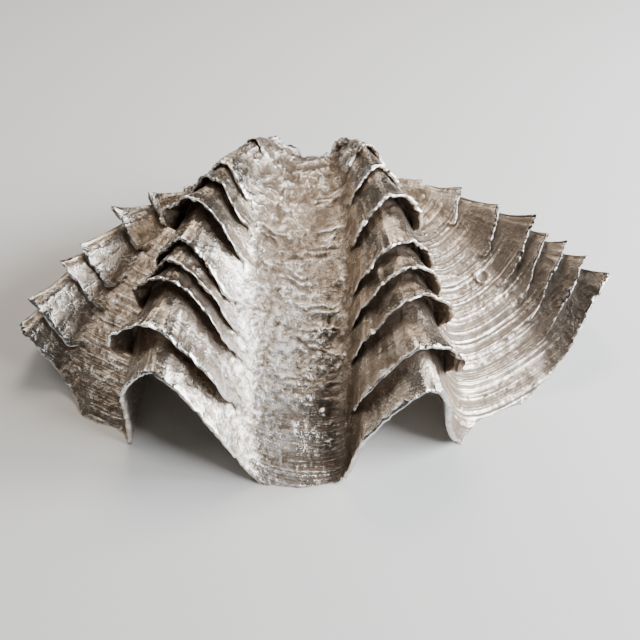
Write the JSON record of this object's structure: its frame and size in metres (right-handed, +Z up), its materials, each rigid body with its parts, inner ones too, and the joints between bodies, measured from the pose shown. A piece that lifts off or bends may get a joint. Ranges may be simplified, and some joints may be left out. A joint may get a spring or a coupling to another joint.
{
  "type": "silver-plated clam shell",
  "caption": "Fluted clam shell valve with overlapping scales along its ribs, silver plated, resting hollow side down on its scalloped margin.",
  "frame": {"origin": "middle of the underside, on the surface that the shell rests on", "axes": "+X along the hinge, -Y towards the scalloped front margin, +Y towards the beak, +Z up, away from the hollow side"},
  "size_m": [0.3599, 0.2395, 0.1053],
  "materials": {
    "silver_plate": "worn silver plate over textured shell, satin, with brown patina in the recesses"
  },
  "bodies": {
    "root": {"clam_shell": "silver_plate"}
  },
  "joints": []
}
